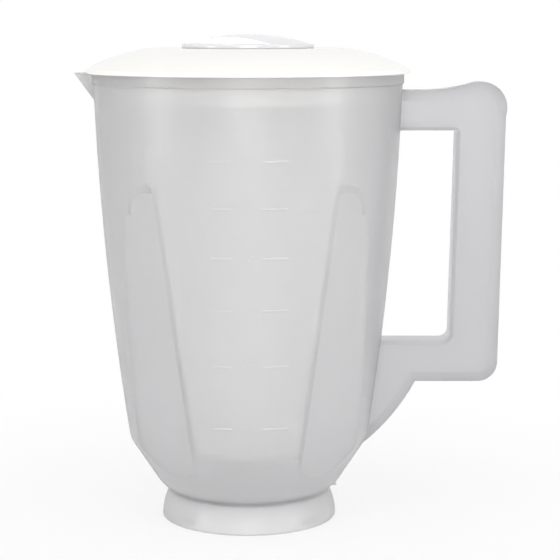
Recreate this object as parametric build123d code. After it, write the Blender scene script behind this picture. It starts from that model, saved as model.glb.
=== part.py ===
from build123d import *
import math
import os

# A blender jar moulded in one piece with its handle, spout and foot ring, its push-in lid, and the
# clear measuring cap that drops into the lid. The jar stands on its foot ring with its axis on Z,
# the handle towards +X and the spout towards -X. Millimetres and degrees throughout.

# Driving dimensions of the jar's wall
JAR_HEIGHT = 199.0
RIM_RADIUS = 68.1
WAIST_RADIUS = 63.4
WAIST_HEIGHT = 119.6
SHOULDER_RADIUS = 53.6
SHOULDER_HEIGHT = 36.8
KNEE_RADIUS = 41.3
KNEE_HEIGHT = 18.0
NECK_RADIUS = 35.6
NECK_HEIGHT = 13.4
FOOT_RADIUS = 39.2
WALL = 2.2
RIM_BAND_HEIGHT = 4.2
RIM_BAND_PROUD = 0.5
SHOULDER_ROUND = 12.0
NECK_ROUND = 1.6
FOOT_ROUND = 0.8

# Floor, blade opening and the hollow foot that sits over the motor unit
FLOOR_UNDERSIDE = 11.0
FLOOR_THICKNESS = 3.2
FLOOR_ROUND = 4.8
BLADE_BORE_RADIUS = 11.0
SEAT_RADIUS = 18.0
SEAT_DROP = 3.0
KEY_WIDTH = 5.0
KEY_DEPTH = 2.0
RIB_COUNT = 8
RIB_THICKNESS = 1.8
RIB_REACH = 31.0
RIB_DROP = 2.6
DOG_COUNT = 4
DOG_WIDTH = 8.0
DOG_REACH = 3.0
DOG_LIFT = 2.0
LOCATOR_WIDTH = 6.7
LOCATOR_HEIGHT = 2.9
LOCATOR_REACH = 39.6

# Four flutes pressed into the wall, two at the front and two at the back. Each runs out gently towards
# the side, and stops at a step towards the middle that lies along the opening of the mould
FLUTE_ANGLE = 49.5
FLUTE_RADIUS = 150.0
FLUTE_TOP = 154.1
FLUTE_TOP_RADIUS = 13.5
FLUTE_END_ANGLE = 68.0
FLUTE_DEPTH_TOP = 1.2
FLUTE_DEPTH_WAIST = 2.9
FLUTE_DEPTH_SHOULDER = 5.4
STEP_TOP = 39.6
STEP_SHOULDER = 23.7

# Pouring spout
SPOUT_REACH = 76.6
SPOUT_RADIUS = 13.4
SPOUT_DEPTH = 12.4
SPOUT_ROOT_RADIUS = 1.5

# Handle, drawn on the plane of the spout
HANDLE_THICKNESS = 16.3
HANDLE_DROP = 7.4
HANDLE_RISE = 3.2
HANDLE_REACH_TOP = 113.6
HANDLE_REACH_BOTTOM = 111.1
HANDLE_BOTTOM = 61.8
GRIP_WIDTH_TOP = 22.0
GRIP_WIDTH_BOTTOM = 21.6
TOP_BAR = 17.5
LOWER_BAR = 18.6
TOP_RUN = 8.6
TOP_CORNER = 14.4
BOTTOM_CORNER = 8.6
WINDOW_CORNER_TOP = 1.0
WINDOW_CORNER_BOTTOM = 3.8
GUSSET_START = 74.6
GUSSET_END_RADIUS = 47.9
GUSSET_END_HEIGHT = 30.7
GUSSET_HEEL = 0.9
GUSSET_SAG = 1.6
BEVEL_FACE = 4.6
BEVEL_SIDE = 3.1
WINDOW_BEVEL = 1.5

# Lid
LID_RADIUS = 71.3
LID_EDGE = 1.7
LID_RISE = 10.9
LID_FLAT_RADIUS = 44.0
LID_CROWN = 1.4
LID_WALL = 1.8
LID_ROUND = 0.5
SKIRT_DEPTH = 11.5
SKIRT_WALL = 1.8
SKIRT_GAP = 1.1
BEAD_DROP = 4.2
BEAD_HEIGHT = 2.3
BEAD_CLEARANCE = 0.15
COLLAR_DEPTH = 10.5
COLLAR_WALL = 1.8

# Measuring cap
CAP_RADIUS = 29.2
CAP_FLANGE = 1.9
CAP_ROUND = 0.6
CAP_LEDGE = 1.1
CAP_DOME = 4.2
CAP_WALL = 1.8
CUP_RADIUS = 23.0
CUP_DEPTH = 14.4
CUP_CLEARANCE = 0.3
GRIP_BAR_HALF = 15.8
GRIP_BAR_ANGLE = -34.0

BEYOND = 1.0
TINY = 0.001

# Places that follow from the sizes above
WALL_TOP = JAR_HEIGHT - RIM_BAND_HEIGHT
FLOOR_TOP = FLOOR_UNDERSIDE + FLOOR_THICKNESS
LID_TOP = JAR_HEIGHT + LID_RISE
HANDLE_TOP = JAR_HEIGHT - HANDLE_DROP


def edge(*points):
    """A straight run, or an arc through the middle one of three points, on the plane of the spout."""
    spots = [(radius, 0, height) for radius, height in points]
    if len(spots) == 2:
        return Line(*spots)
    return ThreePointArc(*spots)


def arc_from(start, end, heading):
    """An arc that leaves its start along a heading."""
    return TangentArc((start[0], 0, start[1]), (end[0], 0, end[1]), tangent=(heading[0], 0, heading[1]))


def closed(edges):
    """The face inside a chain of edges."""
    return make_face([piece for curve in edges for piece in curve.edges()])


def spin(*edges):
    """The solid that a half profile sweeps round the jar's axis."""
    return revolve(closed(edges), Axis.Z)


def rings(shape, radius):
    """The round edges of a shape that have a given radius."""
    circles = shape.edges().filter_by(GeomType.CIRCLE)
    return [circle for circle in circles if abs(circle.radius - radius) < TINY]


def inset(before, corner, after, depth):
    """The corner of two straight runs, moved in by a depth from both."""
    def line(start, end):
        along = (end[0] - start[0], end[1] - start[1])
        length = math.hypot(*along)
        inward = (-along[1] / length, along[0] / length)
        return inward, inward[0] * corner[0] + inward[1] * corner[1] + depth

    (a, b), e = line(before, corner)
    (c, d), f = line(corner, after)
    spread = a * d - b * c
    return (e * d - b * f) / spread, (a * f - e * c) / spread


# Corners of the jar's outer half profile, from the neck to the rim
NECK = (NECK_RADIUS, NECK_HEIGHT)
KNEE = (KNEE_RADIUS, KNEE_HEIGHT)
SHOULDER = (SHOULDER_RADIUS, SHOULDER_HEIGHT)
WAIST = (WAIST_RADIUS, WAIST_HEIGHT)
WALL_END = (RIM_RADIUS, JAR_HEIGHT)
FUNNEL_DOWN = (KNEE_RADIUS - SHOULDER_RADIUS, KNEE_HEIGHT - SHOULDER_HEIGHT)


def through(spots, height):
    """Radius at a height on the smooth curve through three spots of a profile."""
    total = 0.0
    for here in spots:
        share = here[0]
        for other in spots:
            if other is not here:
                share *= (height - other[1]) / (here[1] - other[1])
        total += share
    return total


def wall_radius(height):
    """Outer radius of the bowed wall at a height."""
    return through((SHOULDER, WAIST, WALL_END), height)


def jar_outside():
    """The jar's outer form, filled: foot ring, funnel, bowed wall and rim band."""
    band = RIM_RADIUS + RIM_BAND_PROUD
    sunk = RIM_BAND_PROUD + WALL / 2
    form = spin(
        edge((0, 0), (FOOT_RADIUS, 0)),
        arc_from((FOOT_RADIUS, 0), NECK, (0, 1)),
        arc_from(KNEE, NECK, FUNNEL_DOWN),
        edge(KNEE, SHOULDER),
        edge(SHOULDER, WAIST, WALL_END),
        edge(WALL_END, (0, JAR_HEIGHT)),
        edge((0, JAR_HEIGHT), (0, 0)),
    )
    rim = spin(
        edge((band - sunk, WALL_TOP - sunk), (band, WALL_TOP)),
        edge((band, WALL_TOP), (band, JAR_HEIGHT)),
        edge((band, JAR_HEIGHT), (band - sunk, JAR_HEIGHT)),
        edge((band - sunk, JAR_HEIGHT), (band - sunk, WALL_TOP - sunk)),
    )
    form = fillet(form.edges().sort_by(Axis.Z)[0], FOOT_ROUND)
    form = fillet(rings(form, NECK_RADIUS), NECK_ROUND)
    return fillet(rings(form, SHOULDER_RADIUS), SHOULDER_ROUND) + rim


def jar_inside():
    """The space inside the wall, from the floor to the open mouth."""
    shoulder = inset(KNEE, SHOULDER, WAIST, WALL)
    slope = FUNNEL_DOWN[0] / FUNNEL_DOWN[1]
    corner = (shoulder[0] - slope * (shoulder[1] - FLOOR_TOP), FLOOR_TOP)
    mouth = (RIM_RADIUS - WALL, JAR_HEIGHT)
    above = JAR_HEIGHT + BEYOND
    space = spin(
        edge((0, FLOOR_TOP), corner),
        edge(corner, shoulder),
        edge(shoulder, (WAIST_RADIUS - WALL, WAIST_HEIGHT), mouth),
        edge(mouth, (mouth[0], above)),
        edge((mouth[0], above), (0, above)),
        edge((0, above), (0, FLOOR_TOP)),
    )
    floor_edge = space.edges().filter_by(GeomType.CIRCLE).sort_by(Axis.Z)[0]
    space = fillet(floor_edge, FLOOR_ROUND)
    return fillet(rings(space, shoulder[0]), SHOULDER_ROUND - WALL)


def flute_groove(grow):
    """The shallow groove of one flute, towards +X and larger by a wall for the inside."""
    floor = (
        (wall_radius(FLUTE_TOP) - FLUTE_DEPTH_TOP, FLUTE_TOP),
        (WAIST_RADIUS - FLUTE_DEPTH_WAIST, WAIST_HEIGHT),
        (SHOULDER_RADIUS - FLUTE_DEPTH_SHOULDER, SHOULDER_HEIGHT),
    )
    heights = (NECK_HEIGHT, WAIST_HEIGHT, FLUTE_TOP + FLUTE_TOP_RADIUS)
    path = edge(*[(through(floor, height) + FLUTE_RADIUS, height) for height in heights])
    groove = sweep(Plane(path @ 0) * Circle(FLUTE_RADIUS + grow), path, normal=(0, 0, 1))
    # the rounded top end is a shallow cone square to the wall, and below its centre the groove is free
    centre = FLUTE_TOP - FLUTE_TOP_RADIUS
    lean = wall_radius(centre + 0.5) - wall_radius(centre - 0.5)
    face = Plane((wall_radius(centre), 0, centre), x_dir=(0, 1, 0), z_dir=(1, 0, -lean))
    steep = math.tan(math.radians(FLUTE_END_ANGLE))
    rim = FLUTE_TOP_RADIUS + grow / math.cos(math.radians(FLUTE_END_ANGLE))
    deep = wall_radius(centre) - through(floor, centre) + grow + WALL / 4
    out = 2 * WALL
    cone = face * Pos(Z=(out - deep) / 2) * Cone(rim - deep * steep, rim + out * steep, deep + out)
    below = Pos(X=wall_radius(centre)) * Box(
        2 * FLUTE_RADIUS, 2 * FLUTE_RADIUS, centre, align=(Align.CENTER, Align.CENTER, Align.MIN)
    )
    return groove & (cone + below)


def step_side(grow):
    """The space outside the step of the two flutes towards +X, moved in by a wall for the inside."""
    run = (STEP_TOP - STEP_SHOULDER) / (FLUTE_TOP - SHOULDER_HEIGHT)
    foot = STEP_SHOULDER - run * SHOULDER_HEIGHT - grow
    head = foot + run * JAR_HEIGHT
    far = 2 * RIM_RADIUS
    side = closed([
        edge((foot, 0), (far, 0)),
        edge((far, 0), (far, JAR_HEIGHT)),
        edge((far, JAR_HEIGHT), (head, JAR_HEIGHT)),
        edge((head, JAR_HEIGHT), (foot, 0)),
    ])
    return extrude(side, far, both=True)


def four_flutes(grow):
    """The flute form at its four places, two each side of the plane of the handle."""
    groove = flute_groove(grow)
    pair = [(Rot(Z=turn) * groove) & step_side(grow) for turn in (FLUTE_ANGLE, -FLUTE_ANGLE)]
    return pair + [mirror(flute, about=Plane.YZ) for flute in pair]


def spout(inward):
    """A cone that opens upwards from the wall to the spout's lip, moved in by a wall for its inside."""
    foot = JAR_HEIGHT - SPOUT_DEPTH
    root = Pos(-(wall_radius(foot) - SPOUT_ROOT_RADIUS - inward), 0, foot) * Circle(SPOUT_ROOT_RADIUS)
    lip = Pos(-(SPOUT_REACH - SPOUT_RADIUS), 0, JAR_HEIGHT) * Circle(SPOUT_RADIUS - inward)
    return loft([root, lip], ruled=True)


def handle():
    """The handle's flat bevelled loop with the gusset below it, drawn into the wall at both ends."""
    inner = NECK_RADIUS
    heel = GUSSET_END_HEIGHT - GUSSET_HEEL
    top_start = RIM_RADIUS + TOP_RUN
    peak = (HANDLE_REACH_TOP - TOP_CORNER, HANDLE_TOP + HANDLE_RISE)
    lean = (HANDLE_REACH_TOP - HANDLE_REACH_BOTTOM) / (peak[1] - HANDLE_BOTTOM)
    bottom = HANDLE_REACH_BOTTOM - BOTTOM_CORNER
    gusset_mid = ((GUSSET_START + GUSSET_END_RADIUS) / 2, (HANDLE_BOTTOM + GUSSET_END_HEIGHT) / 2)
    rise = arc_from((top_start, HANDLE_TOP), peak, (1, 0))
    side_top = (HANDLE_REACH_TOP - lean * TOP_CORNER, peak[1] - TOP_CORNER)
    side_end = (HANDLE_REACH_BOTTOM + lean * BOTTOM_CORNER, HANDLE_BOTTOM + BOTTOM_CORNER)
    outline = closed([
        edge((inner, HANDLE_TOP), (top_start, HANDLE_TOP)),
        rise,
        arc_from(peak, side_top, ((rise % 1).X, (rise % 1).Z)),
        edge(side_top, side_end),
        arc_from(side_end, (bottom, HANDLE_BOTTOM), (-lean, -1)),
        edge((bottom, HANDLE_BOTTOM), (GUSSET_START, HANDLE_BOTTOM)),
        edge(
            (GUSSET_START, HANDLE_BOTTOM),
            (gusset_mid[0] + GUSSET_SAG, gusset_mid[1] - GUSSET_SAG),
            (GUSSET_END_RADIUS, GUSSET_END_HEIGHT),
        ),
        edge((GUSSET_END_RADIUS, GUSSET_END_HEIGHT), (GUSSET_END_RADIUS, heel)),
        edge((GUSSET_END_RADIUS, heel), (inner, heel)),
        edge((inner, heel), (inner, HANDLE_TOP)),
    ])
    bar = extrude(outline, HANDLE_THICKNESS / 2, both=True)
    for end in (0, -1):
        side = bar.faces().sort_by(Axis.Y)[end]
        rim = [piece for piece in side.edges() if piece.center().X > GUSSET_END_RADIUS]
        bar = chamfer(rim, BEVEL_FACE, BEVEL_SIDE, reference=side)
    return bar - handle_window(inner)


def handle_window(inner):
    """The finger gap, open to the wall, with its edges eased."""
    top = HANDLE_TOP - TOP_BAR
    foot = HANDLE_BOTTOM + LOWER_BAR
    foot_corner = HANDLE_REACH_BOTTOM - GRIP_WIDTH_BOTTOM
    top_corner = HANDLE_REACH_TOP - GRIP_WIDTH_TOP
    gap = extrude(
        closed([
            edge((inner, foot), (foot_corner, foot)),
            edge((foot_corner, foot), (top_corner, top)),
            edge((top_corner, top), (inner, top)),
            edge((inner, top), (inner, foot)),
        ]),
        HANDLE_THICKNESS / 2,
        both=True,
    )
    across = gap.edges().filter_by(Axis.Y).sort_by(Axis.X)[-2:].sort_by(Axis.Z)
    gap = fillet(across[0], WINDOW_CORNER_BOTTOM)
    across = gap.edges().filter_by(Axis.Y).sort_by(Axis.Z)[-2:].sort_by(Axis.X)
    gap = fillet(across[-1], WINDOW_CORNER_TOP)
    # a flared copy at each face eases the window's edges
    for end in (0, -1):
        side = gap.faces().sort_by(Axis.Y)[end]
        flare = offset(side, WINDOW_BEVEL)
        inner_face = side.moved(Pos(Y=-math.copysign(WINDOW_BEVEL, side.center().Y)))
        gap += loft([Sketch() + inner_face, Sketch() + flare], ruled=True)
    return gap


def foot_space():
    """The hollow under the floor, less the seat, ribs and dogs that stand in it."""
    wall_foot = (FOOT_RADIUS - WALL, 0)
    wall_head = (NECK_RADIUS - WALL, FLOOR_UNDERSIDE)
    space = spin(
        edge((0, -BEYOND), (wall_foot[0], -BEYOND)),
        edge((wall_foot[0], -BEYOND), wall_foot),
        arc_from(wall_foot, wall_head, (0, 1)),
        edge(wall_head, (0, FLOOR_UNDERSIDE)),
        edge((0, FLOOR_UNDERSIDE), (0, -BEYOND)),
    )
    hang = (Align.MIN, Align.CENTER, Align.MAX)
    rib = Pos(Z=FLOOR_UNDERSIDE) * Box(RIB_REACH, RIB_THICKNESS, RIB_DROP, align=hang)
    dog = Pos(wall_foot[0] - DOG_REACH, 0, FLOOR_UNDERSIDE) * Box(
        FOOT_RADIUS, DOG_WIDTH, FLOOR_UNDERSIDE - DOG_LIFT, align=hang
    )
    seat = Pos(Z=FLOOR_UNDERSIDE) * Cylinder(
        SEAT_RADIUS, SEAT_DROP, align=(Align.CENTER, Align.CENTER, Align.MAX)
    )
    space -= seat
    space -= [Rot(Z=360 * step / RIB_COUNT) * rib for step in range(RIB_COUNT)]
    dog_turn = 180 / DOG_COUNT
    space -= [Rot(Z=dog_turn + 360 * step / DOG_COUNT) * dog for step in range(DOG_COUNT)]
    return space


def blade_opening():
    """The bore for the blade unit, with two key slots that stop it turning."""
    height = FLOOR_THICKNESS + SEAT_DROP + 2 * BEYOND
    middle = Pos(Z=(FLOOR_TOP + FLOOR_UNDERSIDE - SEAT_DROP) / 2)
    slots = Box(2 * (BLADE_BORE_RADIUS + KEY_DEPTH), KEY_WIDTH, height)
    return middle * (Cylinder(BLADE_BORE_RADIUS, height) + slots)


def jar_body():
    """The jar in one piece."""
    locator = Pos(Z=NECK_HEIGHT) * Box(
        LOCATOR_REACH, LOCATOR_WIDTH, LOCATOR_HEIGHT, align=(Align.MIN, Align.CENTER, Align.MIN)
    )
    jar = jar_outside() - four_flutes(0)
    for piece in (spout(0), handle(), locator):
        jar += piece
    for space in (jar_inside() - four_flutes(WALL), spout(WALL), foot_space(), blade_opening()):
        jar -= space
    return jar


def crown(radius):
    """Height of the lid's crowned top at a radius."""
    middle = (LID_RADIUS + LID_FLAT_RADIUS) / 2
    edge_height = JAR_HEIGHT + LID_EDGE
    spots = (
        (edge_height, LID_RADIUS),
        ((edge_height + LID_TOP) / 2 + LID_CROWN, middle),
        (LID_TOP, LID_FLAT_RADIUS),
    )
    return through(spots, radius)


def lid():
    """The white lid: flange on the rim, crowned top, skirt with its bead, and the filler collar."""
    middle = (LID_RADIUS + LID_FLAT_RADIUS) / 2
    skirt = RIM_RADIUS - WALL - SKIRT_GAP
    skirt_inner = skirt - SKIRT_WALL
    skirt_foot = JAR_HEIGHT - SKIRT_DEPTH
    bead_middle = JAR_HEIGHT - BEAD_DROP
    bead_radius = wall_radius(bead_middle) - WALL - BEAD_CLEARANCE
    hole = CUP_RADIUS + CUP_CLEARANCE
    collar = hole + COLLAR_WALL
    collar_foot = LID_TOP - COLLAR_DEPTH
    under = LID_TOP - LID_WALL
    inner_middle = (skirt_inner + LID_FLAT_RADIUS) / 2
    shell = spin(
        edge((skirt, JAR_HEIGHT), (LID_RADIUS, JAR_HEIGHT)),
        edge((LID_RADIUS, JAR_HEIGHT), (LID_RADIUS, JAR_HEIGHT + LID_EDGE)),
        edge(
            (LID_RADIUS, JAR_HEIGHT + LID_EDGE),
            (middle, crown(middle)),
            (LID_FLAT_RADIUS, LID_TOP),
        ),
        edge((LID_FLAT_RADIUS, LID_TOP), (hole, LID_TOP)),
        edge((hole, LID_TOP), (hole, collar_foot)),
        edge((hole, collar_foot), (collar, collar_foot)),
        edge((collar, collar_foot), (collar, under)),
        edge((collar, under), (LID_FLAT_RADIUS, under)),
        edge(
            (LID_FLAT_RADIUS, under),
            (inner_middle, crown(inner_middle) - LID_WALL),
            (skirt_inner, crown(skirt_inner) - LID_WALL),
        ),
        edge((skirt_inner, crown(skirt_inner) - LID_WALL), (skirt_inner, skirt_foot)),
        edge((skirt_inner, skirt_foot), (skirt, skirt_foot)),
        edge((skirt, skirt_foot), (skirt, bead_middle - BEAD_HEIGHT / 2)),
        edge(
            (skirt, bead_middle - BEAD_HEIGHT / 2),
            (bead_radius, bead_middle),
            (skirt, bead_middle + BEAD_HEIGHT / 2),
        ),
        edge((skirt, bead_middle + BEAD_HEIGHT / 2), (skirt, JAR_HEIGHT)),
    )
    return fillet(rings(shell, LID_RADIUS), LID_ROUND)


def dome(radius, foot, rise):
    """A low dome on a flat disc."""
    half = radius * math.sqrt(0.5)
    sphere = (radius ** 2 + rise ** 2) / (2 * rise)
    half_height = foot + rise - sphere + math.sqrt(sphere ** 2 - half ** 2)
    return spin(
        edge((0, foot), (radius, foot)),
        edge((radius, foot), (half, half_height), (0, foot + rise)),
        edge((0, foot + rise), (0, foot)),
    )


def grip_slab(half):
    """The space between the two finger cuts, across the cap."""
    return Pos(Z=LID_TOP) * Rot(Z=GRIP_BAR_ANGLE) * Box(4 * CAP_RADIUS, 2 * half, 4 * CUP_DEPTH)


def measuring_cap():
    """The clear cap: flange on the lid, domed grip bar between two finger cuts, and cup below."""
    upright = (Align.CENTER, Align.CENTER, Align.MIN)
    flange_top = LID_TOP + CAP_FLANGE
    cup_foot = LID_TOP - CUP_DEPTH
    bore = CUP_RADIUS - CAP_WALL
    cap = Pos(Z=LID_TOP) * Cylinder(CAP_RADIUS, CAP_FLANGE, align=upright)
    cap = fillet(rings(cap, CAP_RADIUS), CAP_ROUND)
    cap += Pos(Z=cup_foot) * Cylinder(CUP_RADIUS, CUP_DEPTH, align=upright)
    dome_radius = CAP_RADIUS - CAP_LEDGE
    cap += dome(dome_radius, flange_top, CAP_DOME) & grip_slab(GRIP_BAR_HALF)
    cup_space = Pos(Z=cup_foot) * Cylinder(bore, CUP_DEPTH + CAP_FLANGE - CAP_WALL, align=upright)
    grip_space = dome(dome_radius, flange_top - CAP_WALL, CAP_DOME) & grip_slab(GRIP_BAR_HALF - CAP_WALL)
    grip_space &= Pos(Z=cup_foot) * Cylinder(bore, 2 * CUP_DEPTH, align=upright)
    return cap - cup_space - grip_space


os.makedirs("parts", exist_ok=True)
for name, piece in (("jar_body", jar_body()), ("lid", lid()), ("measuring_cap", measuring_cap())):
    export_step(piece, f"parts/{name}.step")
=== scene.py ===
import math

import bmesh
import bpy
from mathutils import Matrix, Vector
from mathutils.bvhtree import BVHTree


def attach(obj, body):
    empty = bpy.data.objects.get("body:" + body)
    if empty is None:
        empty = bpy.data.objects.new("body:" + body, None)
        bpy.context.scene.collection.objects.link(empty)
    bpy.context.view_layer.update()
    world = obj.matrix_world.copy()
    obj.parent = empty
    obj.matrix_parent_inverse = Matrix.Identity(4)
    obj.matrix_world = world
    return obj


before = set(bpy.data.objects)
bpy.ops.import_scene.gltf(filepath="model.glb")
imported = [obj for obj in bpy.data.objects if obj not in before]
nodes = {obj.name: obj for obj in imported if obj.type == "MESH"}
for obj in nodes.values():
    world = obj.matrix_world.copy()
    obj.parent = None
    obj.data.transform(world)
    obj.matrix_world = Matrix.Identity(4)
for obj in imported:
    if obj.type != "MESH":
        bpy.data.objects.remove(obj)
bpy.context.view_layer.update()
MM = 0.001

# Camera, in millimetres and degrees, with the focal length in pixels of a 560 pixel frame
CAMERA_AT = (14.03, -790.8, 221.5)
CAMERA_DOWN = 8.25
FOCAL_PIXELS = 1784.5
FRAME_PIXELS = 560
SENSOR = 36.0

# Graduation marks on the front of the wall: what each reads in millilitres, and its fill height. Sizes are
# millimetres, except that MARK_SINK and MARK_END are shares of the lift, and that MARK_SECTION is in half
# widths across and lifts outwards
MARKS = ((250, 51.1), (500, 78.4), (750, 102.6), (1000, 124.7), (1250, 145.3), (1500, 164.9))
MARK_LIFT = 0.14
MARK_SINK = 0.3
MARK_HALF = 0.3
MARK_STEP = 0.8
MARK_END = 0.15
MARK_SECTION = ((-1.5, -MARK_SINK), (-1.0, 0.6), (-0.5, 0.95), (0.5, 0.95), (1.0, 0.6), (1.5, -MARK_SINK))
LONG_MARK = (6.6, 17.6)
SHORT_MARK = (-14.6, -6.0)
NUMERAL_SIZE = 3.0
NUMERAL_AT = 0.6
NUMERAL_ARC_STEPS = 3

# Rays that find the wall start this far in front of the jar's axis, in metres
RAY_START = 1.0

# How much light passes the faces of the jar and of its marks, and how deep the fine relief is in metres
JAR_CLEARNESS = 0.85
MARK_CLEARNESS = 0.55
RELIEF_DEPTH = 0.0002

# Noise patterns are stretched over this middle part of their range
NOISE_LOW = 0.3
NOISE_HIGH = 0.7

# Floor, in metres: its corners, how far it lies below the part, and how the white share of what is seen of
# it grows with the distance from the jar's axis
FLOOR_CORNERS = ((-6, -3, 0), (6, -3, 0), (6, 9, 0), (-6, 9, 0))
FLOOR_DROP = 0.0003
FADE = (("From Min", 0.05), ("From Max", 0.3), ("To Min", 0.8), ("To Max", 1.0))

# Strength of the light that the sky gives
SKY_GIVEN = 0.65

# Studio lamps: name, place, target and size in metres, power in watts
LAMPS = (
    ("top_box", (0.0, -0.6, 1.1), (0, 0, 0.1), (1.1, 1.1), 4.5),
    ("front_box", (0.0, -1.3, 0.12), (0, 0, 0.05), (0.6, 0.2), 2.8),
    ("left_box", (-1.14, -0.53, 0.05), (0, 0, 0.1), (0.4, 0.5), 3.7),
    ("right_box", (1.14, -0.53, 0.05), (0, 0, 0.1), (0.4, 0.5), 4.8),
)


def new_material(name):
    """A material with one Principled shader, its nodes and its links."""
    material = bpy.data.materials.new(name)
    material.use_nodes = True
    tree = material.node_tree
    return material, tree.nodes, tree.links, tree.nodes["Principled BSDF"]


def add_node(tree_nodes, kind, **settings):
    """A node with its properties and unlinked inputs set."""
    made = tree_nodes.new(kind)
    for name, value in settings.items():
        if name in made.inputs:
            made.inputs[name].default_value = value
        else:
            setattr(made, name, value)
    return made


def noise(tree_nodes, links, scale, detail, stretch=None):
    """A noise pattern in the object's own metres, stretched along the axes if asked."""
    place = tree_nodes.new("ShaderNodeTexCoord")
    made = add_node(tree_nodes, "ShaderNodeTexNoise", Scale=scale, Detail=detail)
    source = place.outputs["Object"]
    if stretch:
        mapping = add_node(tree_nodes, "ShaderNodeMapping", Scale=stretch)
        links.new(source, mapping.inputs["Vector"])
        source = mapping.outputs["Vector"]
    links.new(source, made.inputs["Vector"])
    return made.outputs["Fac"]


def ramp(tree_nodes, links, source, low, high):
    """A colour or number that follows a pattern from low to high."""
    if isinstance(low, tuple):
        made = tree_nodes.new("ShaderNodeValToRGB")
        made.color_ramp.elements[0].position = NOISE_LOW
        made.color_ramp.elements[1].position = NOISE_HIGH
        made.color_ramp.elements[0].color = (*low, 1)
        made.color_ramp.elements[1].color = (*high, 1)
        links.new(source, made.inputs["Fac"])
        return made.outputs["Color"]
    made = tree_nodes.new("ShaderNodeMapRange")
    made.inputs["From Min"].default_value = NOISE_LOW
    made.inputs["From Max"].default_value = NOISE_HIGH
    made.inputs["To Min"].default_value = low
    made.inputs["To Max"].default_value = high
    links.new(source, made.inputs["Value"])
    return made.outputs["Result"]


def relief(tree_nodes, links, shader, source, strength):
    """A fine bump on a shader's normal."""
    made = add_node(tree_nodes, "ShaderNodeBump", Strength=strength, Distance=RELIEF_DEPTH)
    links.new(source, made.inputs["Height"])
    links.new(made.outputs["Normal"], shader.inputs["Normal"])


def jar_plastic(name, clearness):
    """Milky translucent plastic: satin outside, cloudy inside, with faint upright flow marks."""
    material, tree_nodes, links, shader = new_material(name)
    flow = noise(tree_nodes, links, scale=30.0, detail=3.0, stretch=(1.0, 1.0, 0.12))
    milk = ramp(tree_nodes, links, flow, (0.942, 0.94, 0.943), (0.963, 0.961, 0.964))
    links.new(milk, shader.inputs["Base Color"])
    cloud = noise(tree_nodes, links, scale=60.0, detail=4.0)
    links.new(ramp(tree_nodes, links, cloud, 0.6, 0.7), shader.inputs["Roughness"])
    shader.inputs["IOR"].default_value = 1.49
    shader.inputs["Transmission Weight"].default_value = clearness
    shader.inputs["Coat Weight"].default_value = 0.6
    shader.inputs["Coat Roughness"].default_value = 0.28
    grain = noise(tree_nodes, links, scale=2200.0, detail=2.0)
    relief(tree_nodes, links, shader, grain, strength=0.08)
    tint = (0.54, 0.535, 0.56, 1.0)
    haze = add_node(tree_nodes, "ShaderNodeVolumeAbsorption", Color=tint, Density=66.0)
    links.new(haze.outputs["Volume"], tree_nodes["Material Output"].inputs["Volume"])
    return material


def lid_plastic():
    """Glossy white plastic, a little warm, with the faint unevenness of a moulded face."""
    material, tree_nodes, links, shader = new_material("lid_plastic")
    tone = noise(tree_nodes, links, scale=25.0, detail=3.0)
    ivory = ramp(tree_nodes, links, tone, (0.925, 0.915, 0.885), (0.945, 0.935, 0.908))
    links.new(ivory, shader.inputs["Base Color"])
    polish = noise(tree_nodes, links, scale=90.0, detail=4.0)
    links.new(ramp(tree_nodes, links, polish, 0.17, 0.24), shader.inputs["Roughness"])
    shader.inputs["IOR"].default_value = 1.5
    wave = noise(tree_nodes, links, scale=120.0, detail=2.0)
    relief(tree_nodes, links, shader, wave, strength=0.05)
    return material


def cap_plastic():
    """Polished plastic, partly clear, with a cool tint."""
    material, tree_nodes, links, shader = new_material("cap_plastic")
    tint = noise(tree_nodes, links, scale=40.0, detail=2.0)
    lilac = ramp(tree_nodes, links, tint, (0.968, 0.964, 0.989), (0.979, 0.976, 0.994))
    links.new(lilac, shader.inputs["Base Color"])
    polish = noise(tree_nodes, links, scale=140.0, detail=3.0)
    links.new(ramp(tree_nodes, links, polish, 0.03, 0.07), shader.inputs["Roughness"])
    shader.inputs["IOR"].default_value = 1.52
    shader.inputs["Transmission Weight"].default_value = 0.17
    wave = noise(tree_nodes, links, scale=110.0, detail=2.0)
    relief(tree_nodes, links, shader, wave, strength=0.04)
    return material


finishes = {
    "jar_body": jar_plastic("jar_plastic", JAR_CLEARNESS),
    "lid": lid_plastic(),
    "measuring_cap": cap_plastic(),
}
for node_name, finish in finishes.items():
    for slot in nodes[node_name].material_slots:
        slot.material = finish

# Graduation marks, raised from the wall where a ray from the front meets it
wall = BVHTree.FromObject(nodes["jar_body"], bpy.context.evaluated_depsgraph_get())


def on_wall(across, height, lift):
    """The point that stands a lift above the front of the wall, all in millimetres, as metres."""
    start = Vector((across * MM, -RAY_START, height * MM))
    spot, normal, _, _ = wall.ray_cast(start, Vector((0, 1, 0)))
    return spot + normal * lift * MM


def raised_line(mesh, start, end, height):
    """A low rounded line across the front of the wall."""
    count = max(2, round((end - start) / MARK_STEP))
    rows = []
    for step in range(count + 1):
        share = step / count
        across = start + (end - start) * share
        ease = MARK_END if step in (0, count) else 1.0
        row = []
        for side, rise in MARK_SECTION:
            lift = rise * MARK_LIFT * (ease if rise > 0 else 1)
            row.append(mesh.verts.new(on_wall(across, height + side * MARK_HALF, lift)))
        rows.append(row)
    for first, second in zip(rows, rows[1:]):
        for low in range(len(MARK_SECTION)):
            high = (low + 1) % len(MARK_SECTION)
            mesh.faces.new((first[low], second[low], second[high], first[high]))
    mesh.faces.new(rows[0])
    mesh.faces.new(list(reversed(rows[-1])))


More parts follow.
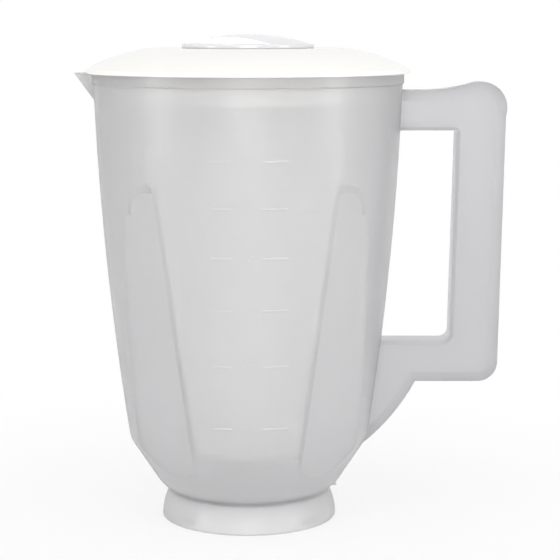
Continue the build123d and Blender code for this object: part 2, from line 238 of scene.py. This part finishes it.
def raised_number(mesh, number, across, height):
    """Plain numerals laid on the front of the wall."""
    words = bpy.data.curves.new("numeral", "FONT")
    words.body = str(number)
    words.size = NUMERAL_SIZE
    words.align_x = "CENTER"
    words.align_y = "CENTER"
    # Any depth does here, since the front and the back are set on the wall below
    words.extrude = 0.5
    words.resolution_u = NUMERAL_ARC_STEPS
    holder = bpy.data.objects.new("numeral", words)
    solid = bpy.data.meshes.new_from_object(holder)
    for vertex in solid.vertices:
        lift = MARK_LIFT if vertex.co.z > 0 else -MARK_SINK * MARK_LIFT
        vertex.co = on_wall(across + vertex.co.x, height + vertex.co.y, lift)
    mesh.from_mesh(solid)
    bpy.data.objects.remove(holder)
    bpy.data.curves.remove(words)
    bpy.data.meshes.remove(solid)


marks = bmesh.new()
for reading, height in MARKS:
    raised_line(marks, *LONG_MARK, height)
    raised_line(marks, *SHORT_MARK, height)
    raised_number(marks, reading, NUMERAL_AT, height)
bmesh.ops.recalc_face_normals(marks, faces=marks.faces)
marks_mesh = bpy.data.meshes.new("graduation_marks")
marks.to_mesh(marks_mesh)
marks.free()
graduation = bpy.data.objects.new("graduation_marks", marks_mesh)
bpy.context.scene.collection.objects.link(graduation)
graduation.data.materials.append(jar_plastic("mark_plastic", MARK_CLEARNESS))
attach(graduation, "root")

# Floor: a pale sheet that the camera sees as white paper with the jar's soft shadow
floor_mesh = bpy.data.meshes.new("floor")
floor_mesh.from_pydata(FLOOR_CORNERS, [], [(0, 1, 2, 3)])
floor = bpy.data.objects.new("floor", floor_mesh)
floor.location.z = -FLOOR_DROP
bpy.context.scene.collection.objects.link(floor)
paper, paper_nodes, paper_links, paper_shader = new_material("paper")
paper_tone = noise(paper_nodes, paper_links, scale=400.0, detail=3.0)
paper_white = ramp(paper_nodes, paper_links, paper_tone, (0.93, 0.93, 0.93), (0.95, 0.95, 0.95))
paper_links.new(paper_white, paper_shader.inputs["Base Color"])
paper_shader.inputs["Roughness"].default_value = 0.9
paper_shader.inputs["Specular IOR Level"].default_value = 0.1


def seen_ray(tree_nodes, links):
    """1 for rays from the camera and for those it sends on through glass or off gloss, else 0."""
    path = tree_nodes.new("ShaderNodeLightPath")
    first = add_node(tree_nodes, "ShaderNodeMath", operation="MAXIMUM")
    second = add_node(tree_nodes, "ShaderNodeMath", operation="MAXIMUM")
    links.new(path.outputs["Is Camera Ray"], first.inputs[0])
    links.new(path.outputs["Is Glossy Ray"], first.inputs[1])
    links.new(first.outputs[0], second.inputs[0])
    links.new(path.outputs["Is Transmission Ray"], second.inputs[1])
    return second.outputs[0]


white = add_node(paper_nodes, "ShaderNodeEmission", Color=(1, 1, 1, 1), Strength=1.0)
paper_place = paper_nodes.new("ShaderNodeTexCoord")
reach = add_node(paper_nodes, "ShaderNodeVectorMath", operation="LENGTH")
paper_links.new(paper_place.outputs["Object"], reach.inputs[0])
fade = paper_nodes.new("ShaderNodeMapRange")
fade.interpolation_type = "SMOOTHSTEP"
for name, value in FADE:
    fade.inputs[name].default_value = value
paper_links.new(reach.outputs["Value"], fade.inputs["Value"])
share = add_node(paper_nodes, "ShaderNodeMath", operation="MULTIPLY")
paper_links.new(fade.outputs["Result"], share.inputs[1])
paper_links.new(seen_ray(paper_nodes, paper_links), share.inputs[0])
paper_mix = paper_nodes.new("ShaderNodeMixShader")
paper_links.new(share.outputs[0], paper_mix.inputs["Fac"])
paper_links.new(paper_shader.outputs[0], paper_mix.inputs[1])
paper_links.new(white.outputs[0], paper_mix.inputs[2])
paper_links.new(paper_mix.outputs[0], paper_nodes["Material Output"].inputs["Surface"])
floor.data.materials.append(paper)

# World: white where it is seen, a plain grey sky for the light it gives
world = bpy.data.worlds.new("studio")
bpy.context.scene.world = world
world.use_nodes = True
sky = world.node_tree.nodes
sky_links = world.node_tree.links
seen = add_node(sky, "ShaderNodeBackground", Color=(1, 1, 1, 1), Strength=1.0)
given = sky["Background"]
given.inputs["Color"].default_value = (1, 1, 1, 1)
given.inputs["Strength"].default_value = SKY_GIVEN
sky_mix = sky.new("ShaderNodeMixShader")
sky_links.new(seen_ray(sky, sky_links), sky_mix.inputs["Fac"])
sky_links.new(given.outputs[0], sky_mix.inputs[1])
sky_links.new(seen.outputs[0], sky_mix.inputs[2])
sky_links.new(sky_mix.outputs[0], sky["World Output"].inputs["Surface"])


def softbox(name, place, target, size, power):
    """A rectangular studio lamp that faces a target, in metres and watts."""
    lamp = bpy.data.lights.new(name, "AREA")
    lamp.shape = "RECTANGLE"
    lamp.size, lamp.size_y = size
    lamp.energy = power
    holder = bpy.data.objects.new(name, lamp)
    holder.location = place
    holder.rotation_mode = "QUATERNION"
    holder.rotation_quaternion = (Vector(target) - Vector(place)).to_track_quat("-Z", "Y")
    bpy.context.scene.collection.objects.link(holder)


for lamp_row in LAMPS:
    softbox(*lamp_row)

camera_data = bpy.data.cameras.new("camera")
camera_data.sensor_width = SENSOR
camera_data.lens = FOCAL_PIXELS / FRAME_PIXELS * SENSOR
camera_data.clip_start = 0.01
camera = bpy.data.objects.new("camera", camera_data)
camera.location = Vector(CAMERA_AT) * MM
camera.rotation_euler = (math.radians(90 - CAMERA_DOWN), 0, 0)
bpy.context.scene.collection.objects.link(camera)
bpy.context.scene.camera = camera
bpy.context.scene.view_settings.view_transform = "Standard"
